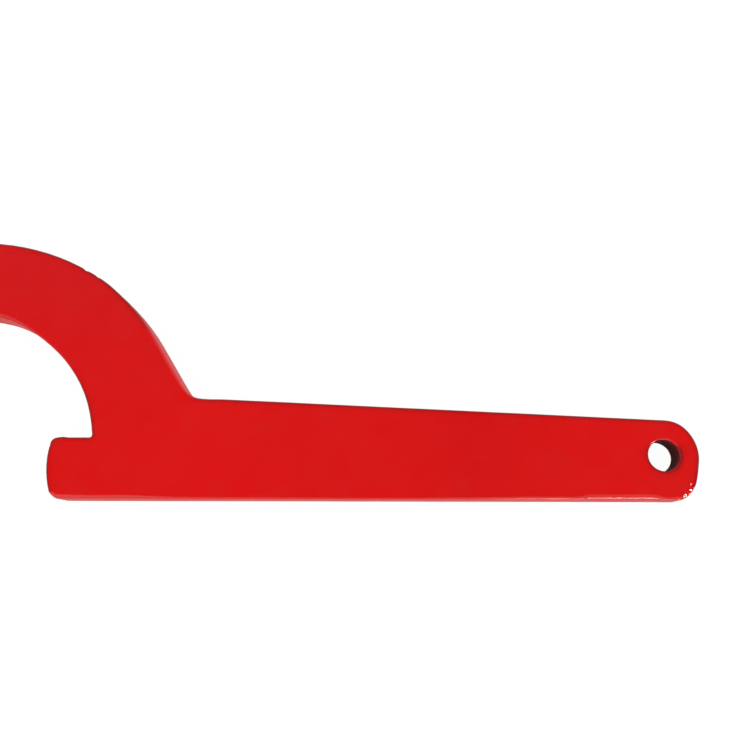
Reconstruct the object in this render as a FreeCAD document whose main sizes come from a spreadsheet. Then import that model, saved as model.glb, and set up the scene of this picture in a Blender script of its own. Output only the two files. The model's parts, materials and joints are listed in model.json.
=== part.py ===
"""Fire hydrant wrench: one flat steel plate, cut as a hook spanner and drilled to hang up.

The frame's origin is the jaw's centre, on the plate's back face. +X runs along the
handle to the hanging hole, +Y points to the crown of the hook, and +Z is the plate's
normal, so the plate fills z = 0 to plate_thickness.
"""
import FreeCAD, Part
import math
import os
import Sketcher

# name of the cell, its value in millimetres or degrees, and what it is
DRIVING_SIZES = [
    ("plate_thickness", 10.0, "thickness of the plate"),
    ("jaw_radius", 50.0, "inside radius of the jaw"),
    ("hook_radius", 79.0, "radius of the hook's outer edge"),
    ("hook_shift", 2.4, "how far the outer edge's centre lies towards the handle"),
    ("hook_drop", 2.2, "how far the outer edge's centre lies under the jaw's centre"),
    ("shoulder_angle", 58.0, "fall of the straight shoulder, from the handle's direction"),
    ("taper_angle", 2.95, "fall of the handle's upper edge"),
    ("lower_edge", 14.65, "depth of the handle's straight lower edge under the jaw's centre"),
    ("hole_distance", 239.2, "jaw's centre to the hanging hole's centre"),
    ("hole_diameter", 10.4, "diameter of the hanging hole"),
    ("end_radius", 11.45, "round of the handle's end, about the hanging hole"),
    ("end_lean", 11.5, "lean of the flat under the handle's round end"),
    ("heel_radius", 7.5, "rounded lower corner of the handle's end"),
    ("shoulder_radius", 6.0, "concave round where the shoulder meets the handle"),
    ("lug_face", 6.0, "height of each tooth's load face off the jaw's centre line"),
    ("nose_distance", 34.7, "jaw's centre to a tooth's nose"),
    ("nose_radius", 28.5, "crown of a tooth's nose"),
    ("nose_shift", 2.35, "how far the crown's centre lies behind the jaw's centre line"),
    ("far_tooth_height", 16.0, "height of the tooth at the hook's tip"),
    ("face_corner", 2.5, "rounded corner of a nose, beside its load face"),
    ("back_corner", 3.5, "rounded corner of a nose, away from its load face"),
    ("tip_corner", 8.0, "rounded outer corner of the hook's tip"),
    ("load_root", 0.8, "root beside the handle tooth's load face"),
    ("back_root", 4.0, "root behind the tip tooth"),
    ("edge_round", 0.8, "rounding of the plate's long edges"),
    ("hole_bevel", 0.4, "bevel of the hanging hole's rims"),
]

doc = FreeCAD.newDocument("FireHydrantWrench")
size = {name: value for name, value, _ in DRIVING_SIZES}


def make_sheet():
    """The spreadsheet of driving sizes, one aliased cell to a row."""
    sheet = doc.addObject("Spreadsheet::Sheet", "sizes")
    for row, (name, value, meaning) in enumerate(DRIVING_SIZES, start=1):
        sheet.set(f"A{row}", meaning)
        sheet.set(f"B{row}", str(value))
        sheet.setAlias(f"B{row}", name)
    doc.recompute()
    return sheet


def origin_plane(body, role):
    """One of the body's own base planes, such as XY_Plane."""
    return next(plane for plane in body.Origin.OriginFeatures if plane.Role == role)


def plane_sketch(body, name):
    """A sketch on the back face's plane."""
    sketch = body.newObject("Sketcher::SketchObject", name)
    sketch.AttachmentSupport = [(origin_plane(body, "XY_Plane"), "")]
    sketch.MapMode = "FlatFace"
    return sketch


def point(x, y):
    """A point of a sketch."""
    return FreeCAD.Vector(x, y, 0)


def polar(centre, radius, degrees):
    """The point of a circle at an angle from +X."""
    angle = math.radians(degrees)
    return centre + point(radius * math.cos(angle), radius * math.sin(angle))


def arc(centre, radius, start, end):
    """The anticlockwise arc of a circle from one point's direction to another's."""
    circle = Part.Circle(centre, FreeCAD.Vector(0, 0, 1), radius)
    angles = [math.atan2(p.y - centre.y, p.x - centre.x) for p in (start, end)]
    return Part.ArcOfCircle(circle, angles[0], angles[1])


def meet_level(centre, radius, level, side):
    """Where a circle crosses the line y = level, on its right (+1) or left (-1) side."""
    return point(centre.x + side * math.sqrt(radius ** 2 - (level - centre.y) ** 2), level)


def outline_geometry():
    """The plate's outline with sharp corners, as named sketch elements in order."""
    jaw_centre = point(0, 0)
    hook_centre = point(size["hook_shift"], -size["hook_drop"])
    end_centre = point(size["hole_distance"], 0)
    nose_offset = size["nose_distance"] + size["nose_radius"]
    handle_nose = point(nose_offset, -size["nose_shift"])
    tip_nose = point(-nose_offset, size["nose_shift"])

    load_level = size["lug_face"]
    tooth_back = size["far_tooth_height"] - size["lug_face"]
    handle_root = meet_level(jaw_centre, size["jaw_radius"], load_level, 1)
    tip_root = meet_level(jaw_centre, size["jaw_radius"], tooth_back, -1)
    tip_back = meet_level(tip_nose, size["nose_radius"], tooth_back, 1)
    tip_front = meet_level(tip_nose, size["nose_radius"], -load_level, 1)
    tip_outer = meet_level(hook_centre, size["hook_radius"], -load_level, -1)
    handle_front = meet_level(handle_nose, size["nose_radius"], load_level, -1)
    handle_back = meet_level(handle_nose, size["nose_radius"], -size["lower_edge"], -1)

    shoulder_top = polar(hook_centre, size["hook_radius"], 90 - size["shoulder_angle"])
    taper_end = polar(end_centre, size["end_radius"], 90 - size["taper_angle"])
    fall = math.tan(math.radians(size["shoulder_angle"]))
    taper = math.tan(math.radians(size["taper_angle"]))
    reach = (shoulder_top.y - taper_end.y + fall * shoulder_top.x - taper * taper_end.x)
    shoulder_x = reach / (fall - taper)
    shoulder_foot = point(shoulder_x, taper_end.y + taper * (taper_end.x - shoulder_x))
    flat_top = polar(end_centre, size["end_radius"], -size["end_lean"])
    flat_run = (flat_top.y + size["lower_edge"]) * math.tan(math.radians(size["end_lean"]))
    heel = point(flat_top.x - flat_run, -size["lower_edge"])

    return [
        ("jaw", arc(jaw_centre, size["jaw_radius"], handle_root, tip_root)),
        ("tip_tooth_back", Part.LineSegment(tip_root, tip_back)),
        ("tip_nose", arc(tip_nose, size["nose_radius"], tip_front, tip_back)),
        ("tip_face", Part.LineSegment(tip_front, tip_outer)),
        ("hook", arc(hook_centre, size["hook_radius"], shoulder_top, tip_outer)),
        ("shoulder", Part.LineSegment(shoulder_top, shoulder_foot)),
        ("upper_edge", Part.LineSegment(shoulder_foot, taper_end)),
        ("end_round", arc(end_centre, size["end_radius"], flat_top, taper_end)),
        ("end_flat", Part.LineSegment(flat_top, heel)),
        ("lower_edge", Part.LineSegment(heel, handle_back)),
        ("handle_nose", arc(handle_nose, size["nose_radius"], handle_front, handle_back)),
        ("handle_face", Part.LineSegment(handle_front, handle_root)),
    ]


START, END, CENTRE = 1, 2, 3
ORIGIN = -1

# elements that meet end to end: joined, or joined and tangent
JOINTS = [
    ("Coincident", "jaw", END, "tip_tooth_back", START),
    ("Coincident", "tip_tooth_back", END, "tip_nose", END),
    ("Coincident", "tip_nose", START, "tip_face", START),
    ("Coincident", "tip_face", END, "hook", END),
    ("Tangent", "hook", START, "shoulder", START),
    ("Coincident", "shoulder", END, "upper_edge", START),
    ("Tangent", "upper_edge", END, "end_round", END),
    ("Tangent", "end_round", START, "end_flat", START),
    ("Coincident", "end_flat", END, "lower_edge", START),
    ("Coincident", "lower_edge", END, "handle_nose", END),
    ("Coincident", "handle_nose", START, "handle_face", START),
    ("Coincident", "handle_face", END, "jaw", START),
]

# radius of each arc
RADII = [
    ("jaw", "sizes.jaw_radius"),
    ("hook", "sizes.hook_radius"),
    ("end_round", "sizes.end_radius"),
    ("tip_nose", "sizes.nose_radius"),
    ("handle_nose", "sizes.nose_radius"),
]

# a point of an element, the axis it is measured along from the origin, and its distance
PLACES = [
    ("hook", CENTRE, "X", "sizes.hook_shift"),
    ("hook", CENTRE, "Y", "-sizes.hook_drop"),
    ("end_round", CENTRE, "X", "sizes.hole_distance"),
    ("handle_nose", CENTRE, "X", "sizes.nose_distance + sizes.nose_radius"),
    ("handle_nose", CENTRE, "Y", "-sizes.nose_shift"),
    ("tip_nose", CENTRE, "X", "-(sizes.nose_distance + sizes.nose_radius)"),
    ("tip_nose", CENTRE, "Y", "sizes.nose_shift"),
    ("handle_face", START, "Y", "sizes.lug_face"),
    ("lower_edge", START, "Y", "-sizes.lower_edge"),
    ("tip_face", START, "Y", "-sizes.lug_face"),
    ("tip_tooth_back", START, "Y", "sizes.far_tooth_height - sizes.lug_face"),
]

# direction of each sloping line, in degrees from +X
SLOPES = [
    ("shoulder", "-sizes.shoulder_angle * 1 deg"),
    ("upper_edge", "-sizes.taper_angle * 1 deg"),
    ("end_flat", "(-90 - sizes.end_lean) * 1 deg"),
]

LEVEL_LINES = ["tip_tooth_back", "tip_face", "lower_edge", "handle_face"]


def bind(sketch, constraint, expression):
    """Add a dimension to a sketch and drive it from the sheet."""
    number = sketch.addConstraint(constraint)
    sketch.setExpression(f"Constraints[{number}]", expression)


def draw_outline(body):
    """The plate's outline with sharp corners, fully driven from the sheet."""
    sketch = plane_sketch(body, "outline")
    index = {}
    geometry = {}
    for name, element in outline_geometry():
        index[name] = sketch.addGeometry(element, False)
        geometry[name] = element
    for kind, first, first_end, second, second_end in JOINTS:
        sketch.addConstraint(
            Sketcher.Constraint(kind, index[first], first_end, index[second], second_end))
    sketch.addConstraint(Sketcher.Constraint("Coincident", index["jaw"], CENTRE, ORIGIN, START))
    sketch.addConstraint(Sketcher.Constraint("PointOnObject", index["end_round"], CENTRE, ORIGIN))
    for name in LEVEL_LINES:
        sketch.addConstraint(Sketcher.Constraint("Horizontal", index[name]))
    for name, expression in RADII:
        radius = geometry[name].Radius
        bind(sketch, Sketcher.Constraint("Radius", index[name], radius), expression)
    for name, place, axis, expression in PLACES:
        element = geometry[name]
        spot = element.Center if place == CENTRE else element.StartPoint
        distance = spot.x if axis == "X" else spot.y
        rule = Sketcher.Constraint(
            f"Distance{axis}", ORIGIN, START, index[name], place, distance)
        bind(sketch, rule, expression)
    for name, expression in SLOPES:
        run = geometry[name].EndPoint - geometry[name].StartPoint
        angle = math.atan2(run.y, run.x)
        bind(sketch, Sketcher.Constraint("Angle", index[name], angle), expression)
    doc.recompute()
    return sketch


def pad_outline(body, sketch):
    """The plate's full thickness, from the back face up."""
    pad = body.newObject("PartDesign::Pad", "plate")
    pad.Profile = sketch
    pad.setExpression("Length", "sizes.plate_thickness")
    doc.recompute()
    return pad


def upright_edges(shape, corner):
    """Names of the edges that stand on the back face at a corner of the outline."""
    names = []
    for number, edge in enumerate(shape.Edges, start=1):
        ends = [vertex.Point for vertex in edge.Vertexes]
        upright = len(ends) == 2 and abs(ends[0].z - ends[1].z) > size["plate_thickness"] / 2
        if upright and math.hypot(ends[0].x - corner.x, ends[0].y - corner.y) < 0.01:
            names.append(f"Edge{number}")
    return names


def round_corners(body, base, geometry):
    """The outline's rounded corners, one fillet to each radius."""
    corners = [
        ("heel_round", "heel_radius", [geometry["end_flat"].EndPoint]),
        ("shoulder_round", "shoulder_radius", [geometry["shoulder"].EndPoint]),
        ("tip_round", "tip_corner", [geometry["tip_face"].EndPoint]),
        ("nose_backs", "back_corner",
         [geometry["lower_edge"].EndPoint, geometry["tip_tooth_back"].EndPoint]),
        ("nose_faces", "face_corner",
         [geometry["handle_face"].StartPoint, geometry["tip_face"].StartPoint]),
        ("load_root_round", "load_root", [geometry["handle_face"].EndPoint]),
        ("back_root_round", "back_root", [geometry["tip_tooth_back"].StartPoint]),
    ]
    for name, cell, points in corners:
        edges = [edge for spot in points for edge in upright_edges(base.Shape, spot)]
        if len(edges) != len(points):
            raise SystemExit(f"{name}: found {len(edges)} of {len(points)} corners")
        fillet = body.newObject("PartDesign::Fillet", name)
        fillet.Base = (base, edges)
        fillet.setExpression("Radius", f"sizes.{cell}")
        doc.recompute()
        base = fillet
    return base


def rim_edges(shape, radius=None):
    """Edges of the two faces: all of them, or only the circles of one radius."""
    names = []
    for number, edge in enumerate(shape.Edges, start=1):
        box = edge.BoundBox
        on_face = box.ZLength < 0.001
        is_circle = edge.Closed and hasattr(edge.Curve, "Radius")
        if on_face and radius is None and not is_circle:
            names.append(f"Edge{number}")
        if on_face and is_circle and radius and abs(edge.Curve.Radius - radius) < 0.001:
            names.append(f"Edge{number}")
    return names


def round_rims(body, base):
    """The rounding along the plate's long edges, front and back."""
    fillet = body.newObject("PartDesign::Fillet", "edge_rounding")
    fillet.Base = (base, rim_edges(base.Shape))
    fillet.setExpression("Radius", "sizes.edge_round")
    doc.recompute()
    return fillet


def drill_hole(body):
    """The hanging hole, through the handle's round end."""
    sketch = plane_sketch(body, "hole_circle")
    circle = Part.Circle(point(size["hole_distance"], 0), FreeCAD.Vector(0, 0, 1),
                         size["hole_diameter"] / 2)
    number = sketch.addGeometry(circle, False)
    sketch.addConstraint(Sketcher.Constraint("PointOnObject", number, CENTRE, ORIGIN))
    across = Sketcher.Constraint("DistanceX", ORIGIN, START, number, CENTRE, circle.Center.x)
    bind(sketch, across, "sizes.hole_distance")
    wide = Sketcher.Constraint("Diameter", number, size["hole_diameter"])
    bind(sketch, wide, "sizes.hole_diameter")
    pocket = body.newObject("PartDesign::Pocket", "hanging_hole")
    pocket.Profile = sketch
    pocket.Type = "ThroughAll"
    pocket.Reversed = True
    doc.recompute()
    return pocket


def bevel_hole(body, base):
    """The light bevel of the hanging hole's two rims."""
    chamfer = body.newObject("PartDesign::Chamfer", "hole_bevels")
    chamfer.Base = (base, rim_edges(base.Shape, size["hole_diameter"] / 2))
    chamfer.setExpression("Size", "sizes.hole_bevel")
    doc.recompute()
    return chamfer


def make_wrench_plate():
    """The whole wrench: hook, two teeth, handle and hanging hole, cut from one plate."""
    body = doc.addObject("PartDesign::Body", "wrench_plate")
    body.Label = "wrench_plate"
    body.Placement = FreeCAD.Placement()
    doc.recompute()
    sketch = draw_outline(body)
    geometry = dict(zip((name for name, _ in outline_geometry()), sketch.Geometry))
    pad = pad_outline(body, sketch)
    rounded = round_corners(body, pad, geometry)
    eased = round_rims(body, rounded)
    before = eased.Shape.Volume
    drilled = drill_hole(body)
    removed = before - drilled.Shape.Volume
    expected = math.pi * (size["hole_diameter"] / 2) ** 2 * size["plate_thickness"]
    if abs(removed - expected) > 0.01 * expected:
        raise SystemExit(f"hanging hole removed {removed:.1f} of {expected:.1f} mm3")
    body.Tip = bevel_hole(body, drilled)
    doc.recompute()
    return body


def check_document():
    """Stop if any object of the document failed to recompute."""
    for obj in doc.Objects:
        if "Invalid" in obj.State or "Error" in obj.State:
            raise SystemExit(f"{obj.Name} failed: {obj.State}")


def export_parts(bodies):
    """Write each sub-part's shape to its own STEP file."""
    os.makedirs("parts", exist_ok=True)
    for body in bodies:
        shape = body.Shape
        if shape.isNull() or not shape.isValid():
            raise SystemExit(f"{body.Label} has no valid shape")
        shape.exportStep(f"parts/{body.Label}.step")
        box = shape.optimalBoundingBox()
        print(f"{body.Label}: {shape.Volume / 1000:.2f} cm3, "
              f"{box.XLength:.1f} x {box.YLength:.1f} x {box.ZLength:.1f} mm, "
              f"{len(shape.Solids)} solid")


make_sheet()
wrench_parts = [make_wrench_plate()]
check_document()
export_parts(wrench_parts)
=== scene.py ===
"""Looks of the fire hydrant wrench: red enamel over one cut steel plate, on a pale studio floor."""
import json
import math

import bmesh
import bpy
import numpy as np
from mathutils import Matrix, Vector, noise
from mathutils.geometry import delaunay_2d_cdt


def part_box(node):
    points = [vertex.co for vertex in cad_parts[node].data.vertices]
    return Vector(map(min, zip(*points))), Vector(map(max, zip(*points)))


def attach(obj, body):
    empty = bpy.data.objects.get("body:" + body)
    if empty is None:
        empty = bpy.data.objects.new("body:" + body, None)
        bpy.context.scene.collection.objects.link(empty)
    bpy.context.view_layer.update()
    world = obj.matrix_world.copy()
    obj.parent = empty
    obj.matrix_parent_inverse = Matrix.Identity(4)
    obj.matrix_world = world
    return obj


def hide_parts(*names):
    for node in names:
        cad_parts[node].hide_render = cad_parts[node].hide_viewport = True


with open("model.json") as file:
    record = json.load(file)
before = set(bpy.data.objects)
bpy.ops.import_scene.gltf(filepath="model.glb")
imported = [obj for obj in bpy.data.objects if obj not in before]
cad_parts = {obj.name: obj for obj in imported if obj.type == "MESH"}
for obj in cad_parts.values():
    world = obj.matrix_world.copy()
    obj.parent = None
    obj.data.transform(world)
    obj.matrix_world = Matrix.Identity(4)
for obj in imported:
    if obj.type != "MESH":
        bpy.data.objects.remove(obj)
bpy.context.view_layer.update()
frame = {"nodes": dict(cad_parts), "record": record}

MM = 0.001
BODY = "root"
NODE = "wrench_plate"
LOW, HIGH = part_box(NODE)
THICKNESS = HIGH.z - LOW.z
MOUNTS = {mount["name"]: mount for mount in frame["record"]["mounts"]}
JAW = Vector(MOUNTS["jaw"]["pos_m"])
HOLE = Vector(MOUNTS["hanging_hole"]["pos_m"])
HOLE_RADIUS = MOUNTS["hanging_hole"]["dims"]["r_mm"] * MM
# how far the drilling leans from the back rim to the front rim
HOLE_LEAN = Vector((0.25, -0.20)) * MM
UPRIGHT = Vector((0, 0))

# how finely the plate's skin is divided
RING_STEP = 0.35 * MM
FACE_STEP = 2.2 * MM
ROUND_STEPS = 7
SHELF_STEPS = 5
WALL_STEPS = 10
HOLE_WALL_STEPS = 24

# the flat faces begin at least this far in from the outline, from the hole and from any rounding
FACE_MARGIN = 2.3 * MM
HOLE_MARGIN = 1.1 * MM
PAST_ROUNDING = 0.3 * MM

# points nearer than this are one point, in the CAD plate's mesh and in a flat face
SAME_VERTEX = 0.001 * MM
SAME_PLACE = 1e-9
# the two weights that smooth a ring and swell it back, and how many times they take turns
SMOOTH = 0.5
SWELL = -0.51
FAIR_PASSES = 10
# how many points of a ring are measured against a face's grid at once
RING_PART = 200


# ------------------------------------------------------------ outline, from the CAD plate

def ring_length(ring):
    """Length round a closed ring of points."""
    return np.linalg.norm(np.roll(ring, -1, axis=0) - ring, axis=1).sum()


def section_rings(node):
    """The node's closed outlines at mid thickness, longest first."""
    cut = bmesh.new()
    cut.from_mesh(frame["nodes"][node].data)
    bmesh.ops.remove_doubles(cut, verts=cut.verts, dist=SAME_VERTEX)
    made = bmesh.ops.bisect_plane(
        cut, geom=cut.verts[:] + cut.edges[:] + cut.faces[:],
        plane_co=(0, 0, LOW.z + THICKNESS / 2), plane_no=(0, 0, 1))
    neighbours = {}
    for edge in made["geom_cut"]:
        if isinstance(edge, bmesh.types.BMEdge):
            first, second = edge.verts
            neighbours.setdefault(first, []).append(second)
            neighbours.setdefault(second, []).append(first)
    rings = []
    while neighbours:
        here = max(neighbours, key=lambda vertex: vertex.co.x)
        ring = []
        while here is not None:
            ring.append(tuple(here.co.xy))
            beside = neighbours.pop(here)
            here = next((vertex for vertex in beside if vertex in neighbours), None)
        rings.append(np.array(ring))
    cut.free()
    return sorted(rings, key=ring_length, reverse=True)


def wind(ring, anticlockwise):
    """The ring, turned round if it runs the other way."""
    ahead = np.roll(ring, -1, axis=0)
    doubled_area = (ring[:, 0] * ahead[:, 1] - ahead[:, 0] * ring[:, 1]).sum()
    return ring if (doubled_area > 0) == anticlockwise else ring[::-1]


def resample(ring, step):
    """The ring as evenly spaced points."""
    closed = np.vstack([ring, ring[:1]])
    reach = np.concatenate([[0], np.cumsum(np.linalg.norm(np.diff(closed, axis=0), axis=1))])
    count = int(round(reach[-1] / step))
    places = np.arange(count) * reach[-1] / count
    return np.stack([np.interp(places, reach, closed[:, axis]) for axis in (0, 1)], axis=1)


def fair(ring):
    """Takes the facets out of a resampled ring without shrinking it."""
    for weight in (SMOOTH, SWELL) * FAIR_PASSES:
        middle = (np.roll(ring, 1, axis=0) + np.roll(ring, -1, axis=0)) / 2
        ring = ring + weight * (middle - ring)
    return ring


def outward_normals(ring):
    """Unit normals that point out of the steel, which lies left of the ring's direction."""
    along = np.roll(ring, -1, axis=0) - np.roll(ring, 1, axis=0)
    along /= np.linalg.norm(along, axis=1)[:, None]
    return np.stack([along[:, 1], -along[:, 0]], axis=1)


# ------------------------------------------------------------ relief of the painted surface

def soft_noise(points, wavelength, seed):
    """Smooth noise from -1 to 1 at rows of x, y, z."""
    shift = Vector((17.3 * seed, -9.1 * seed, 5.7 * seed))
    return np.array([noise.noise(Vector(p) / wavelength + shift) for p in points])


def lifted(ring, height):
    """The ring's points at one height."""
    return np.column_stack([ring, np.full(len(ring), height)])


def bump(distance, width):
    """A smooth bump of height 1 that fades out over a width."""
    return np.exp(-(distance / width) ** 2)


def ramp(value, start, length):
    """Goes from 0 at the start to 1 a length further on."""
    return np.clip((value - start) / length, 0, 1)


# places along the lower edge, measured from the jaw, and how far the enamel rounds it there
LOWER_EDGE_ROUND = [
    (35 * MM, 2.0 * MM),
    (60 * MM, 1.9 * MM),
    (84 * MM, 0.9 * MM),
    (150 * MM, 0.7 * MM),
    (196 * MM, 1.3 * MM),
    (211 * MM, 1.4 * MM),
    (214 * MM, 2.3 * MM),
    (236 * MM, 2.3 * MM),
    (239.5 * MM, 0.9 * MM),
    (242.5 * MM, 1.6 * MM),
    (245 * MM, 0.9 * MM),
]
# enamel pooled elsewhere on the front edge: place, reach and how much more it rounds the edge
EDGE_POOLS = [
    (Vector((8.0, 49.4)) * MM, 14.0 * MM, 1.8 * MM),
    (Vector((74.0, 33.0)) * MM, 13.0 * MM, 0.8 * MM),
    (Vector((247.5, -10.5)) * MM, 4.0 * MM, -0.2 * MM),
]
EDGE_ROUND = 0.6 * MM
BACK_ROUND = 0.7 * MM
HOLE_ROUND = 0.45 * MM
LEAST_ROUND = 0.4 * MM
MOST_ROUND = 2.5 * MM
# how much the rounding varies by itself, as a share, and over what length
ROUND_VARIES = 0.16
ROUND_WAVE = 14 * MM
# an edge begins to count as the lower one where it faces down by this much, and where it is
# this near the plate's lowest line; it counts wholly a ramp further on
FACES_DOWN = 0.35
FACES_DOWN_RAMP = 0.4
LOWER_BAND = 5 * MM
LOWER_BAND_RAMP = 3 * MM


def front_rounding(ring, outward):
    """Radius of the front edge: nearly even, but deeper where enamel pooled on it."""
    places, radii = zip(*LOWER_EDGE_ROUND)
    pooled = np.interp(ring[:, 0] - JAW.x, places, radii)
    faces_down = ramp(-outward[:, 1], FACES_DOWN, FACES_DOWN_RAMP)
    is_low = ramp(LOW.y + LOWER_BAND - ring[:, 1], 0, LOWER_BAND_RAMP)
    share = faces_down * is_low
    radius = EDGE_ROUND * (1 - share) + pooled * share
    for place, reach, extra in EDGE_POOLS:
        radius += extra * bump(np.linalg.norm(ring - (JAW.xy + place), axis=1), reach)
    radius *= 1 + ROUND_VARIES * soft_noise(lifted(ring, 0), ROUND_WAVE, 1)
    return np.clip(radius, LEAST_ROUND, MOST_ROUND)


# where the cutting strayed from the nominal outline: place, reach and how far inwards it went
STRAYS = [
    (Vector((44.5, 21.0)) * MM, 9.0 * MM, 0.19 * MM),
    (Vector((31.0, 39.2)) * MM, 6.5 * MM, -0.15 * MM),
    (Vector((16.0, 47.4)) * MM, 6.0 * MM, 0.14 * MM),
    (Vector((49.5, 61.2)) * MM, 6.5 * MM, -0.24 * MM),
    (Vector((22.0, 74.3)) * MM, 9.0 * MM, 0.08 * MM),
    (Vector((34.8, -5.5)) * MM, 8.0 * MM, 0.15 * MM),
    (Vector((244.5, 10.2)) * MM, 3.5 * MM, -0.19 * MM),
    (Vector((250.1, 3.2)) * MM, 4.5 * MM, 0.15 * MM),
    (Vector((243.6, -14.5)) * MM, 3.0 * MM, -0.24 * MM),
    (Vector((248.3, -10.8)) * MM, 1.8 * MM, 0.12 * MM),
    (Vector((249.8, -5.6)) * MM, 3.0 * MM, -0.12 * MM),
    (Vector((82.2, 20.8)) * MM, 2.8 * MM, -0.30 * MM),
    (Vector((88.5, 18.7)) * MM, 3.5 * MM, 0.18 * MM),
]
# small nicks in the edge, and a run of paint that stands proud of it, in the same terms
NICKS = [
    (Vector((42.1, 66.1)) * MM, 0.9 * MM, 0.28 * MM),
    (Vector((46.4, 63.0)) * MM, 0.7 * MM, 0.22 * MM),
    (Vector((34.9, 3.4)) * MM, 0.6 * MM, 0.15 * MM),
]
PAINT_RUN = (Vector((39.6, 6.1)) * MM, 1.3 * MM, -0.22 * MM)
# the slight waves of the whole cut: depth and length
CUT_WAVE = 0.025 * MM
CUT_WAVE_LENGTH = 16 * MM


def uneven_outline(ring):
    """How far the real edge lies inside the nominal one: slight waves, strays and a few nicks."""
    inset = CUT_WAVE * (1 + soft_noise(lifted(ring, 0), CUT_WAVE_LENGTH, 2))
    for place, reach, depth in STRAYS + NICKS + [PAINT_RUN]:
        inset = inset + depth * bump(np.linalg.norm(ring - (JAW.xy + place), axis=1), reach)
    return inset


# depth of the cutting's drag lines on the outline and of the drill's marks in the hole
OUTLINE_MARKS = 0.03 * MM
HOLE_MARKS = 0.06 * MM
# the marks begin this far from a face and reach their full depth this much further on
MARKS_START = 0.6 * MM
MARKS_RAMP = 0.8 * MM
# how wide the marks are, and the scale of x, y, z that draws their noise out up the wall
MARK_WIDTH = 1.3 * MM
DRAWN_UP = (1.0, 1.0, 0.12)
# the faces' long waves and the finer ripple on them: depth and length
FACE_WAVE = 0.045 * MM
FACE_WAVE_LENGTH = 24 * MM
FACE_RIPPLE = 0.008 * MM
FACE_RIPPLE_LENGTH = 5 * MM


def cut_marks(points, depth):
    """Fine upright drag lines of the cutting, softened by the enamel."""
    squeezed = points * np.array(DRAWN_UP)
    return depth * (soft_noise(squeezed, MARK_WIDTH, 3) + 1) / 2


def face_relief(points):
    """How far a face lies under its nominal plane: long waves with a finer ripple on them."""
    flat = points * np.array([1, 1, 0.0])
    waves = FACE_WAVE * (1 + soft_noise(flat, FACE_WAVE_LENGTH, 4))
    ripple = FACE_RIPPLE * (1 + soft_noise(flat, FACE_RIPPLE_LENGTH, 5))
    return (waves + ripple) / 2


# lumps of enamel on the heel, the lower edge and the face: place on the front, radius and height
LUMPS = [
    (Vector((242.2, -13.4, 9.7)) * MM, 0.60 * MM, 0.10 * MM),
    (Vector((212.9, -13.9, 9.2)) * MM, 0.90 * MM, 0.16 * MM),
    (Vector((209.4, -14.0, 9.2)) * MM, 0.70 * MM, 0.12 * MM),
    (Vector((206.0, -7.9, 10.0)) * MM, 0.35 * MM, 0.05 * MM),
    (Vector((217.4, -13.8, 9.3)) * MM, 0.80 * MM, 0.10 * MM),
]
# small sags of enamel on the heel: place and size, and the slope that they share
SAGS = [
    (Vector((247.00, -9.75, 9.8)) * MM, 0.91 * MM),
    (Vector((246.80, -11.25, 9.8)) * MM, 0.86 * MM),
    (Vector((245.00, -12.80, 9.8)) * MM, 0.86 * MM),
]
SAG_SLOPE = Vector((0.20, -0.235, 0.0))
# the heel's corner dips under the face: place, reach and depth
HEEL_DIP = (Vector((246.4, -10.8, 10.0)) * MM, 4.5 * MM, 0.20 * MM)
# the heel's enamel puckered as it dried: place, reach, size of a pucker and height
PUCKER = (Vector((244.0, -13.0, 9.6)) * MM, 3.0 * MM, 1.1 * MM, 0.05 * MM)
# where the puckers' share is less than this, they are left out
NO_PUCKER = 0.02


# ------------------------------------------------------------ the plate's skin

class Skin:
    """Vertices and faces of the plate, with the values that its materials read."""

    def __init__(self):
        self.points = []
        self.edge = []
        self.wall = []
        self.edge_shade = []
        self.faces = []
        self.bare = []

    def add_points(self, points, edge=0.0, wall=0.0, edge_shade=0.0):
        """Adds rows of x, y, z and returns their numbers."""
        start = len(self.points)
        self.points.extend(map(tuple, points))
        self.edge.extend([edge] * len(points))
        self.wall.extend([wall] * len(points))
        self.edge_shade.extend(np.broadcast_to(edge_shade, len(points)))
        return np.arange(start, len(self.points))

    def add_face(self, corners, bare=False):
        """Adds a face, either enamelled or bare."""
        self.faces.append(tuple(int(corner) for corner in corners))
        self.bare.append(bare)


def edge_and_wall(turn):
    """How much a station of a rounding counts as edge and as wall, from face to wall."""
    return math.sin(2 * turn), math.sin(turn) ** 6


def rounded_wall(front, back, wall_steps, margin):
    """Stations from the front face to the back: inset, height, and how much edge and wall."""
    count = len(front)
    front_margin = np.maximum(front + PAST_ROUNDING, margin)
    stations = []
    for share in np.linspace(1, 0, SHELF_STEPS + 1)[:-1]:
        inset = front + (front_margin - front) * share
        stations.append((inset, np.full(count, THICKNESS), 0.0, 0.0))
    turns = np.linspace(0, math.pi / 2, ROUND_STEPS + 1)
    for turn in turns:
        inset = front * (1 - math.sin(turn))
        height = THICKNESS - front * (1 - math.cos(turn))
        stations.append((inset, height, *edge_and_wall(turn)))
    for share in np.linspace(0, 1, wall_steps + 1)[1:-1]:
        height = (THICKNESS - front) * (1 - share) + back * share
        stations.append((np.zeros(count), height, 0.0, 1.0))
    for turn in turns[::-1]:
        inset = back * (1 - math.sin(turn))
        height = back * (1 - math.cos(turn))
        stations.append((inset, height, *edge_and_wall(turn)))
    stations.append(((back + margin) / 2, np.zeros(count), 0.0, 0.0))
    stations.append((np.full(count, margin), np.zeros(count), 0.0, 0.0))
    return stations


def settle_on_faces(points):
    """Lowers the front and raises the back by the face's relief, fading out down the wall."""
    middle = THICKNESS / 2
    share = (points[:, 2] - middle) / middle
    relief = face_relief(points)
    points[:, 2] -= relief * np.sign(share) * share ** 2
    points[:, 2] += LOW.z
    return points


# painted shade darkens the sharp front edges that face away from the lights: how strong it is at
# the edge and how fast that fades
EDGE_SHADE_STRENGTH = 1.66
EDGE_SHADE_REACH = 0.5 * MM
# edges count as sharp below this rounding, and wholly so this much further below it
SHARP_ROUND = 1.1 * MM
SHARP_RAMP = 0.4 * MM
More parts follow.
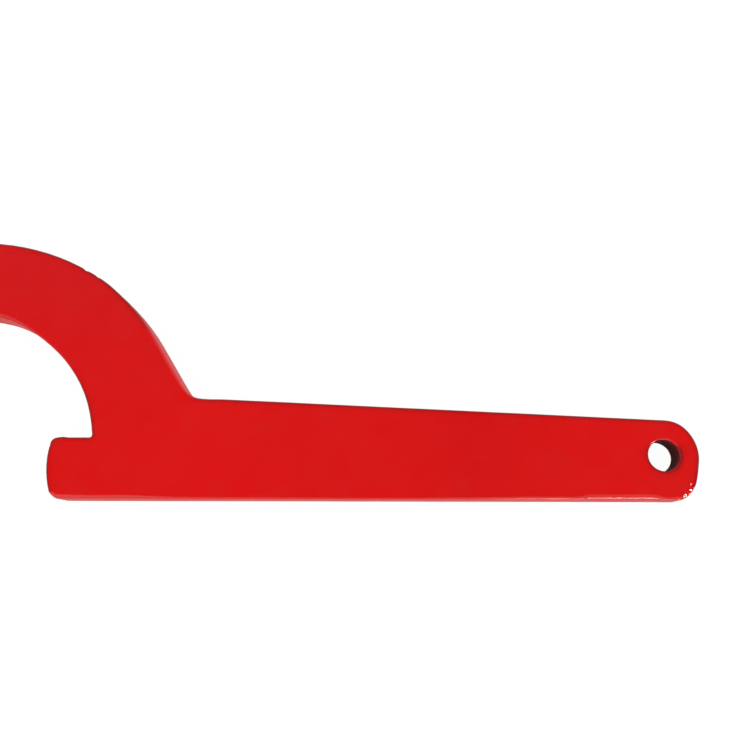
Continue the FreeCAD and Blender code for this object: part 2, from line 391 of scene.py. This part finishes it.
# edges whose outward y is under this face down, towards the lights, and get no painted shade; the
# ramp brings in the rest
SHADE_FACING = -0.7
SHADE_FACING_RAMP = 0.3
LAST_FRONT_STATION = SHELF_STEPS + ROUND_STEPS


def edge_shade_share(outward, stations):
    """How much painted shade the front edge gets along a ring, from 0 to 1: where it is sharp and
    faces away from the lights.
    """
    front = THICKNESS - stations[LAST_FRONT_STATION][1]
    sharp_shade = ramp(SHARP_ROUND - front, 0, SHARP_RAMP)
    return sharp_shade * ramp(outward[:, 1], SHADE_FACING, SHADE_FACING_RAMP)


def wall_points(ring, outward, inset, height, lean, mark_depth):
    """One row of the band round a ring, with the cutting's marks where it is wall."""
    place = ring - outward * inset[:, None]
    place = place + np.outer(height / THICKNESS, lean)
    points = np.column_stack([place, height])
    from_face = np.minimum(height, THICKNESS - height)
    on_wall = ramp(from_face, MARKS_START, MARKS_RAMP)
    points[:, :2] -= outward * (cut_marks(points, mark_depth) * on_wall)[:, None]
    return settle_on_faces(points)


def join_rows(skin, upper, lower, is_bare):
    """Adds the faces between two rows of the band."""
    for here in range(len(upper)):
        there = (here + 1) % len(upper)
        corners = (upper[here], lower[here], lower[there], upper[there])
        centre = np.mean([skin.points[corner] for corner in corners], axis=0)
        skin.add_face(corners, is_bare is not None and is_bare(centre))


def add_wall(skin, ring, stations, shape_inset, mark_depth, lean=UPRIGHT, is_bare=None):
    """Adds the band between the two faces round one ring; returns its first and last rows."""
    outward = outward_normals(ring)
    sharp_shade = edge_shade_share(outward, stations)
    rows = []
    for number, (inset, height, edge, wall) in enumerate(stations):
        points = wall_points(ring, outward, inset + shape_inset, height, lean, mark_depth)
        is_front = number <= LAST_FRONT_STATION
        # painted shade: dark along the sharp front edges that face away from the lights
        edge_shade = sharp_shade * np.clip(EDGE_SHADE_STRENGTH * np.exp(-inset / EDGE_SHADE_REACH), 0, 1) * is_front
        rows.append(skin.add_points(points, edge, wall, edge_shade))
    for upper, lower in zip(rows, rows[1:]):
        join_rows(skin, upper, lower, is_bare)
    return rows[0], rows[-1]


def inside(points, ring):
    """Which points lie inside a closed ring."""
    ahead = np.roll(ring, -1, axis=0)
    hit = np.zeros(len(points), bool)
    for start, end in zip(ring, ahead):
        spans = (start[1] > points[:, 1]) != (end[1] > points[:, 1])
        slope = (end[0] - start[0]) / (end[1] - start[1] or 1)
        hit ^= spans & (points[:, 0] < start[0] + slope * (points[:, 1] - start[1]))
    return hit


def clear_of(points, ring, distance):
    """Which points are at least a distance from every point of a ring."""
    nearest = np.full(len(points), np.inf)
    for start in range(0, len(ring), RING_PART):
        gap = np.linalg.norm(points[:, None] - ring[None, start:start + RING_PART], axis=2)
        nearest = np.minimum(nearest, gap.min(axis=1))
    return nearest > distance


def face_grid(outer, hole):
    """Staggered points that fill a face between its two rings."""
    low, high = outer.min(axis=0), outer.max(axis=0)
    row_gap = FACE_STEP * math.sqrt(3) / 2
    rows = np.arange(low[1], high[1], row_gap)
    points = []
    for number, y in enumerate(rows):
        shift = FACE_STEP / 2 * (number % 2)
        points.extend((x + shift, y) for x in np.arange(low[0], high[0], FACE_STEP))
    points = np.array(points)
    keep = inside(points, outer) & ~inside(points, hole)
    points = points[keep]
    keep = clear_of(points, outer, FACE_STEP / 2) & clear_of(points, hole, FACE_STEP / 3)
    return points[keep]


def add_face_sheet(skin, outer_row, hole_row, height, upward):
    """Fills one face of the plate between the outline's row and the hole's."""
    rows = [outer_row, hole_row]
    rings = [np.array([skin.points[n] for n in row])[:, :2] for row in rows]
    grid = face_grid(*rings)
    relief = settle_on_faces(np.column_stack([grid, np.full(len(grid), height)]))
    numbers = np.concatenate(rows + [skin.add_points(relief)])
    flat = np.vstack(rings + [grid])
    borders = []
    start = 0
    for row in rows:
        borders.extend((start + n, start + (n + 1) % len(row)) for n in range(len(row)))
        start += len(row)
    corners = [Vector(place) for place in flat]
    _, _, triangles, sources, _, _ = delaunay_2d_cdt(corners, borders, [], 0, SAME_PLACE)
    triangles = np.array([[sources[n][0] for n in triangle] for triangle in triangles])
    centres = flat[triangles].mean(axis=1)
    keep = inside(centres, rings[0]) & ~inside(centres, rings[1])
    for triangle in triangles[keep]:
        first, second, third = flat[triangle]
        turn = np.cross(second - first, third - first)
        order = triangle if (turn > 0) == upward else triangle[::-1]
        skin.add_face(numbers[order])


# the enamel reaches this far into the hole, varying by this much over this length
ENAMEL_REACH = 0.75 * MM
REACH_VARIES = 0.45 * MM
REACH_WAVE = 1.6 * MM
# what lies further outside the hole's radius than this is its rounding, not its wall
WALL_SLACK = 0.2 * MM


def hole_wall_is_bare(centre):
    """Whether a spot of the hole's wall is steel that the enamel didn't reach."""
    axis = HOLE.xy + HOLE_LEAN * (centre[2] - LOW.z) / THICKNESS
    if math.hypot(centre[0] - axis.x, centre[1] - axis.y) > HOLE_RADIUS + WALL_SLACK:
        return False
    reach = ENAMEL_REACH + REACH_VARIES * noise.noise(Vector(centre) / REACH_WAVE)
    from_face = min(centre[2] - LOW.z, HIGH.z - centre[2])
    return from_face > reach


def mesh_of(skin):
    """The skin as a smooth mesh, with its materials' values on its points."""
    mesh = bpy.data.meshes.new("enamelled_plate")
    mesh.from_pydata(skin.points, [], skin.faces)
    mesh.polygons.foreach_set("use_smooth", [True] * len(skin.faces))
    mesh.polygons.foreach_set("material_index", [int(bare) for bare in skin.bare])
    for name, values in (("edge", skin.edge), ("wall", skin.wall), ("edge_shade", skin.edge_shade)):
        mesh.attributes.new(name, "FLOAT", "POINT").data.foreach_set("value", values)
    return mesh


def distance_to(places, place):
    """Distances of rows of points from a place that is measured from the jaw."""
    return np.linalg.norm(places - np.array(JAW + place), axis=1)


def enamel_lift(places):
    """How far the lumps, sags, dip and puckers of the front lift the surface at each point."""
    lift = np.zeros(len(places))
    for place, radius, height in LUMPS:
        lift += height * bump(distance_to(places, place), radius)
    for place, size in SAGS:
        rise = (places - np.array(JAW + place)) @ np.array(SAG_SLOPE)
        lift -= rise * np.exp(-(distance_to(places, place) / size) ** 4)
    place, reach, depth = HEEL_DIP
    lift -= depth * bump(distance_to(places, place), reach)
    place, reach, size, height = PUCKER
    near = bump(distance_to(places, place), reach)
    here = near > NO_PUCKER
    lift[here] += height * near[here] * soft_noise(places[here], size, 6)
    return lift


def shape_enamel(mesh):
    """Moves the front's points along their normals by the enamel's lift, within the CAD box."""
    count = len(mesh.vertices)
    places = np.empty(count * 3)
    normals = np.empty(count * 3)
    mesh.vertices.foreach_get("co", places)
    mesh.vertex_normals.foreach_get("vector", normals)
    places = places.reshape(-1, 3)
    normals = normals.reshape(-1, 3)
    lift = enamel_lift(places) * np.clip(normals[:, 2], 0, 1)
    raised = np.clip(places + normals * lift[:, None], LOW, HIGH)
    mesh.vertices.foreach_set("co", raised.ravel())


def make_plate():
    """The enamelled plate as one closed mesh."""
    outline, hole = section_rings(NODE)[:2]
    outline = fair(resample(wind(outline, True), RING_STEP))
    hole = fair(resample(wind(hole, False), RING_STEP / 2))
    outward = outward_normals(outline)

    skin = Skin()
    front = front_rounding(outline, outward)
    back = np.full(len(outline), BACK_ROUND)
    stations = rounded_wall(front, back, WALL_STEPS, FACE_MARGIN)
    outer_front, outer_back = add_wall(
        skin, outline, stations, uneven_outline(outline), OUTLINE_MARKS)

    rim = np.full(len(hole), HOLE_ROUND)
    stations = rounded_wall(rim, rim, HOLE_WALL_STEPS, HOLE_MARGIN)
    hole_front, hole_back = add_wall(
        skin, hole, stations, np.zeros(len(hole)), HOLE_MARKS, HOLE_LEAN, hole_wall_is_bare)

    add_face_sheet(skin, outer_front, hole_front, THICKNESS, True)
    add_face_sheet(skin, outer_back, hole_back, 0.0, False)

    mesh = mesh_of(skin)
    shape_enamel(mesh)
    mesh.update()
    plate = bpy.data.objects.new("enamelled_plate", mesh)
    bpy.context.scene.collection.objects.link(plate)
    return plate


# ------------------------------------------------------------ materials

class Nodes:
    """A material's node tree, with short calls for the nodes used here."""

    def __init__(self, name):
        self.material = bpy.data.materials.new(name)
        self.material.use_nodes = True
        self.tree = self.material.node_tree
        self.shader = self.tree.nodes["Principled BSDF"]
        self.place = self.add("ShaderNodeTexCoord").outputs["Object"]

    def add(self, kind, inputs=None, **settings):
        """A node with its settings made and its inputs set or linked."""
        node = self.tree.nodes.new(kind)
        for name, value in settings.items():
            setattr(node, name, value)
        for name, value in (inputs or {}).items():
            self.feed(node.inputs[name], value)
        return node

    def feed(self, socket, value):
        """Links an output to a socket, or sets the socket's own value."""
        if isinstance(value, bpy.types.NodeSocket):
            self.tree.links.new(value, socket)
        else:
            socket.default_value = value

    def value_on_points(self, name):
        """One of the skin's own values."""
        return self.add("ShaderNodeAttribute", attribute_name=name).outputs["Fac"]

    def noise(self, size, detail=2.0, roughness=0.5, stretch=None):
        """Noise whose features are about one size across, from 0 to 1."""
        place = self.place
        if stretch:
            place = self.add("ShaderNodeMapping", {"Vector": place, "Scale": stretch}).outputs[0]
        inputs = {"Vector": place, "Scale": 1 / size, "Detail": detail, "Roughness": roughness}
        return self.add("ShaderNodeTexNoise", inputs).outputs["Fac"]

    def band(self, value, start, end, low=0.0, high=1.0):
        """A value's range from start to end, spread over low to high and clamped."""
        inputs = {"Value": value, "From Min": start, "From Max": end,
                  "To Min": low, "To Max": high}
        return self.add("ShaderNodeMapRange", inputs).outputs["Result"]

    def near(self, spot, full, gone, share):
        """A share around a spot, fading out between two distances."""
        away = self.add("ShaderNodeVectorMath", {0: self.place, 1: spot}, operation="DISTANCE")
        return self.band(away.outputs["Value"], full, gone, share, 0.0)

    def maths(self, operation, first, second):
        """One arithmetic step."""
        node = self.add("ShaderNodeMath", operation=operation)
        self.feed(node.inputs[0], first)
        self.feed(node.inputs[1], second)
        return node.outputs[0]

    def blend(self, share, first, second):
        """A colour between two others."""
        node = self.add("ShaderNodeMix", data_type="RGBA")
        self.feed(node.inputs[0], share)
        self.feed(node.inputs[6], first)
        self.feed(node.inputs[7], second)
        return node.outputs[2]

    def relief(self, height, distance, under=None):
        """A bump of the surface, on top of another one if given."""
        inputs = {"Height": height, "Distance": distance}
        if under is not None:
            inputs["Normal"] = under
        return self.add("ShaderNodeBump", inputs).outputs["Normal"]


# base colours of the enamel, from its main tones to the painted shade of its crown and of its sharp
# edges
ENAMEL_COOL = (0.500, 0.0024, 0.0026, 1)
ENAMEL_WARM = (0.535, 0.0021, 0.0019, 1)
ENAMEL_SPECK = (0.470, 0.0022, 0.0022, 1)
ENAMEL_FADED = (0.474, 0.0020, 0.0020, 1)
ENAMEL_CROWN_SHADE = (0.478, 0.0035, 0.0045, 1)
ENAMEL_EDGE_SHADE = (0.160, 0.0020, 0.0020, 1)
CHIP = (0.055, 0.020, 0.016, 1)
# the patch of the handle where the enamel is duller: place from the jaw, where it is strongest,
# where it ends, and its share
FADED_PATCH = Vector((180, 2, 10)) * MM
FADED_FULL = 8 * MM
FADED_GONE = 36 * MM
FADED_SHARE = 0.85
# the painted shade of the crown, where the light falls off, comes in between these heights above
# the jaw's centre
CROWN_SHADE_START = 15 * MM
CROWN_SHADE_END = 60 * MM

# how wide the enamel's features are
MOTTLE_SIZE = 55 * MM
SPECK_SIZE = 7 * MM
CHIP_SIZE = 1.1 * MM
RUB_SIZE = 2.0 * MM
PEEL_SIZE = 1.6 * MM
GRIT_SIZE = 0.35 * MM
DRAG_SIZE = 1.0 * MM
# and how deep
PEEL_DEPTH = 0.010 * MM
GRIT_DEPTH = 0.0015 * MM
DRAG_DEPTH = 0.14 * MM
CHIP_DEPTH = 0.08 * MM
# roughness of the faces, lowest and highest, and what rubs, chips and walls add to it
FACE_ROUGHNESS = (0.09, 0.14)
RUB_ROUGHNESS = 0.08
CHIP_ROUGHNESS = 0.4
WALL_ROUGHNESS = 0.5
ENAMEL_IOR = 1.5

# base colours of the hole's wall, from its back rim, darkened with painted shade deep in the hole,
# to the paint mist under its front rim
STEEL_SHADED_BACK = (0.012, 0.005, 0.005, 1)
STEEL_FRONT = (0.070, 0.010, 0.008, 1)
STEEL_GRAIN = (0.075, 0.020, 0.014, 1)
PAINT_MIST = (0.420, 0.006, 0.005, 1)
# heights up the wall: where the painted shade has faded to the steel's front tone, and where the
# mist starts and is full
STEEL_FRONT_HEIGHT = 6 * MM
MIST_START = 6.6 * MM
MIST_FULL = 9.6 * MM
# how wide the steel's features are, how far the blooms shift the heights, and the rings' depth
BLOOM_SIZE = 2.5 * MM
GRAIN_SIZE = 0.5 * MM
DRILL_RING_SIZE = 0.5 * MM
BLOOM_SHIFT = 0.9 * MM
DRILL_RING_DEPTH = 0.03 * MM
STEEL_ROUGHNESS = (0.70, 0.90)
STEEL_SHINE = 0.03


def enamel_red(nodes, fine, edge_shade):
    """The enamel's colour: slow mottling, fine specks, a duller patch, painted shade towards the
    crown and painted shade on the sharp edges.
    """
    slow = nodes.noise(MOTTLE_SIZE, detail=3.0)
    red = nodes.blend(nodes.band(slow, 0.35, 0.65), ENAMEL_COOL, ENAMEL_WARM)
    red = nodes.blend(nodes.band(fine, 0.3, 0.7, 0.0, 0.25), red, ENAMEL_SPECK)
    faded = nodes.near(JAW + FADED_PATCH, FADED_FULL, FADED_GONE, FADED_SHARE)
    red = nodes.blend(faded, red, ENAMEL_FADED)
    across = nodes.add("ShaderNodeSeparateXYZ", {"Vector": nodes.place}).outputs["Y"]
    # painted shade: darker towards the hook's crown, where the light falls off, with a faint
    # painted reflection in its green and blue
    crown_shade = nodes.band(across, JAW.y + CROWN_SHADE_START, JAW.y + CROWN_SHADE_END)
    red = nodes.blend(crown_shade, red, ENAMEL_CROWN_SHADE)
    # painted shade on the sharp front edges that face away from the lights
    return nodes.blend(edge_shade, red, ENAMEL_EDGE_SHADE)


def enamel_chips(nodes, edge):
    """Where small chips have left the rounded edges, from 0 to 1."""
    chip_noise = nodes.noise(CHIP_SIZE, detail=5.0, roughness=0.65)
    chip_edge = nodes.band(edge, 0.55, 1.0)
    return nodes.band(nodes.maths("MULTIPLY", chip_noise, chip_edge), 0.70, 0.72)


def enamel_roughness(nodes, fine, chips, wall):
    """Glossy faces with faint rubs along the handle, duller chips and dull walls."""
    rubs = nodes.noise(RUB_SIZE, detail=6.0, roughness=0.7, stretch=(0.06, 1.6, 1.0))
    rubbed = nodes.band(rubs, 0.58, 0.75, 0.0, RUB_ROUGHNESS)
    rough = nodes.maths("ADD", nodes.band(fine, 0.3, 0.7, *FACE_ROUGHNESS), rubbed)
    rough = nodes.maths("ADD", rough, nodes.maths("MULTIPLY", chips, CHIP_ROUGHNESS))
    return nodes.maths("ADD", rough, nodes.maths("MULTIPLY", wall, WALL_ROUGHNESS))


def enamel_relief(nodes, chips, wall):
    """Orange peel, fine grit, the cutting's drag lines on the walls, and the chips' pits."""
    peel = nodes.relief(nodes.noise(PEEL_SIZE), PEEL_DEPTH)
    grit = nodes.relief(nodes.noise(GRIT_SIZE), GRIT_DEPTH, under=peel)
    drag = nodes.noise(DRAG_SIZE, detail=3.0, stretch=DRAWN_UP)
    lines = nodes.relief(nodes.maths("MULTIPLY", drag, wall), DRAG_DEPTH, under=grit)
    return nodes.relief(nodes.maths("SUBTRACT", 1.0, chips), CHIP_DEPTH, under=lines)


def enamel_material():
    """Thick glossy red enamel."""
    nodes = Nodes("red_enamel")
    edge = nodes.value_on_points("edge")
    wall = nodes.value_on_points("wall")
    # the painted shade of the sharp edges, from the skin's points
    edge_shade = nodes.value_on_points("edge_shade")
    fine = nodes.noise(SPECK_SIZE, detail=4.0)
    chips = enamel_chips(nodes, edge)
    colour = nodes.blend(chips, enamel_red(nodes, fine, edge_shade), CHIP)
    nodes.feed(nodes.shader.inputs["Base Color"], colour)
    nodes.feed(nodes.shader.inputs["Roughness"], enamel_roughness(nodes, fine, chips, wall))
    nodes.feed(nodes.shader.inputs["Normal"], enamel_relief(nodes, chips, wall))
    nodes.shader.inputs["IOR"].default_value = ENAMEL_IOR
    return nodes.material


def bare_steel_material():
    """The drilled wall of the hole: dark oxidised steel with painted shade that darkens it towards
    its back rim, redder towards its front rim.
    """
    nodes = Nodes("hole_wall_steel")
    bloom = nodes.noise(BLOOM_SIZE, detail=5.0, roughness=0.6)
    grain = nodes.noise(GRAIN_SIZE, detail=4.0)
    along = nodes.add("ShaderNodeSeparateXYZ", {"Vector": nodes.place}).outputs["Z"]
    along = nodes.maths("ADD", along, nodes.band(bloom, 0.2, 0.8, -BLOOM_SHIFT, BLOOM_SHIFT))
    # painted shade: the steel darkens towards the back rim, deep in the hole
    colour = nodes.blend(nodes.band(along, 0.0, STEEL_FRONT_HEIGHT), STEEL_SHADED_BACK, STEEL_FRONT)
    colour = nodes.blend(nodes.band(grain, 0.5, 0.75, 0.0, 0.3), colour, STEEL_GRAIN)
    colour = nodes.blend(nodes.band(along, MIST_START, MIST_FULL), colour, PAINT_MIST)
    rings = nodes.noise(DRILL_RING_SIZE, detail=3.0, stretch=(0.15, 0.15, 1.4))
    nodes.feed(nodes.shader.inputs["Base Color"], colour)
    nodes.feed(nodes.shader.inputs["Roughness"], nodes.band(bloom, 0.3, 0.7, *STEEL_ROUGHNESS))
    nodes.feed(nodes.shader.inputs["Normal"], nodes.relief(rings, DRILL_RING_DEPTH))
    nodes.shader.inputs["Specular IOR Level"].default_value = STEEL_SHINE
    return nodes.material


# ------------------------------------------------------------ studio

FLOOR_SIZE = 30.0
FLOOR_GAP = 0.05 * MM
# the floor's two greys, how wide their patches are, its roughness and its own glow
FLOOR_DARK = (0.035, 0.035, 0.035, 1)
FLOOR_LIGHT = (0.045, 0.045, 0.045, 1)
FLOOR_PATCH = 400 * MM
FLOOR_ROUGHNESS = 0.9
FLOOR_GLOW = 0.96

WHITE = (1.0, 1.0, 1.0)
WARM_WHITE = (1.0, 0.93, 0.80)
SOFT_WARM_WHITE = (1.0, 0.93, 0.85)
# lights: place from the plate's middle, width, height, radiance, tint, and which rays see it
LIGHTS = {
    "overhead_fill": ((0.0, 0.0, 1.05), 2.0, 2.0, 1.55, WHITE, "diffuse"),
    "side_fill": ((0.85, 0.70, 0.35), 0.50, 0.50, 4.0, WHITE, "diffuse"),
    "right_window": ((0.37, -1.05, 0.28), 0.28, 0.36, 8.0, WARM_WHITE, "diffuse"),
    "low_strip": ((0.37, -1.05, 0.050), 0.28, 0.10, 28.0, WARM_WHITE, "glossy"),
    "left_window": ((-0.75, -1.05, 0.45), 0.70, 0.70, 0.6, WARM_WHITE, "both"),
    "high_window": ((0.10, -0.80, 1.00), 2.0, 0.50, 0.6, SOFT_WARM_WHITE, "glossy"),
    "sparkle_lamp": ((0.72, -0.30, 0.60), 0.14, 0.14, 60.0, WHITE, "glossy"),
}


def floor_material():
    """A pale panel that glows softly, so that it keeps its tone beside the plate."""
    nodes = Nodes("studio_floor")
    tone = nodes.band(nodes.noise(FLOOR_PATCH), 0.3, 0.7)
    grey = nodes.blend(tone, FLOOR_DARK, FLOOR_LIGHT)
    nodes.feed(nodes.shader.inputs["Base Color"], grey)
    nodes.shader.inputs["Roughness"].default_value = FLOOR_ROUGHNESS
    nodes.shader.inputs["Specular IOR Level"].default_value = 0.0
    nodes.shader.inputs["Emission Color"].default_value = (1, 1, 1, 1)
    nodes.shader.inputs["Emission Strength"].default_value = FLOOR_GLOW
    return nodes.material


def make_floor():
    """A wide pale floor just under the plate."""
    size = FLOOR_SIZE / 2
    corners = [(-size, -size), (size, -size), (size, size), (-size, size)]
    mesh = bpy.data.meshes.new("floor")
    mesh.from_pydata([(x, y, LOW.z - FLOOR_GAP) for x, y in corners], [], [(0, 1, 2, 3)])
    mesh.materials.append(floor_material())
    floor = bpy.data.objects.new("floor", mesh)
    bpy.context.scene.collection.objects.link(floor)


def make_lights():
    """Soft fills, windows and a low strip that show in the enamel's edges, and a sparkle lamp."""
    middle = (LOW + HIGH) / 2
    for name, (place, width, height, radiance, tint, seen_by) in LIGHTS.items():
        light = bpy.data.lights.new(name, "AREA")
        light.shape = "RECTANGLE"
        light.size = width
        light.size_y = height
        light.energy = radiance * math.pi * width * height
        light.color = tint
        box = bpy.data.objects.new(name, light)
        box.location = middle + Vector(place)
        box.rotation_euler = Vector(place).to_track_quat("Z", "Y").to_euler()
        box.visible_diffuse = seen_by != "glossy"
        box.visible_glossy = seen_by != "diffuse"
        bpy.context.scene.collection.objects.link(box)


# the studio's walls and ceiling: sine of the elevation and how bright it is there
WORLD_TONES = [(0.0, 0.60), (0.35, 0.70), (0.60, 0.85), (0.70, 0.60), (0.80, 0.09), (1.0, 0.05)]


def make_world():
    """Pale studio walls, brightest at half height, under a dark ceiling."""
    world = bpy.data.worlds.new("studio")
    world.use_nodes = True
    tree = world.node_tree
    place = tree.nodes.new("ShaderNodeTexCoord")
    split = tree.nodes.new("ShaderNodeSeparateXYZ")
    ramp = tree.nodes.new("ShaderNodeValToRGB")
    tree.links.new(place.outputs["Generated"], split.inputs[0])
    tree.links.new(split.outputs["Z"], ramp.inputs[0])
    tree.links.new(ramp.outputs[0], tree.nodes["Background"].inputs["Color"])
    stops = ramp.color_ramp.elements
    while len(stops) < len(WORLD_TONES):
        stops.new(0.5)
    for stop, (height, tone) in zip(stops, WORLD_TONES):
        stop.position = height
        stop.color = (tone, tone, tone, 1)
    bpy.context.scene.world = world


# the camera stands over the handle's root and looks down at the plate, a little from its lower side
CAMERA_PLACE = JAW + Vector((156.6, -35.0, 268.5)) * MM
CAMERA_TILT = math.radians(13.48)
CAMERA_PAN = math.radians(2.54)
CAMERA_ROLL = math.radians(0.32)
CAMERA_LENS = 37.8
CAMERA_SENSOR = 36.0
CAMERA_NEAREST = 10 * MM


def make_camera():
    """The photograph's view: nearly straight down, close, with the hook's tip out of frame."""
    camera = bpy.data.cameras.new("camera")
    camera.lens = CAMERA_LENS
    camera.sensor_width = CAMERA_SENSOR
    camera.clip_start = CAMERA_NEAREST
    holder = bpy.data.objects.new("camera", camera)
    turn = (Matrix.Rotation(CAMERA_PAN, 4, "Y") @ Matrix.Rotation(CAMERA_TILT, 4, "X")
            @ Matrix.Rotation(CAMERA_ROLL, 4, "Z"))
    holder.matrix_world = Matrix.Translation(CAMERA_PLACE) @ turn
    bpy.context.scene.collection.objects.link(holder)
    bpy.context.scene.camera = holder


plate = make_plate()
plate.data.materials.append(enamel_material())
plate.data.materials.append(bare_steel_material())
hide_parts(NODE)
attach(plate, BODY)

make_floor()
make_lights()
make_world()
make_camera()
bpy.context.scene.view_settings.view_transform = "Standard"
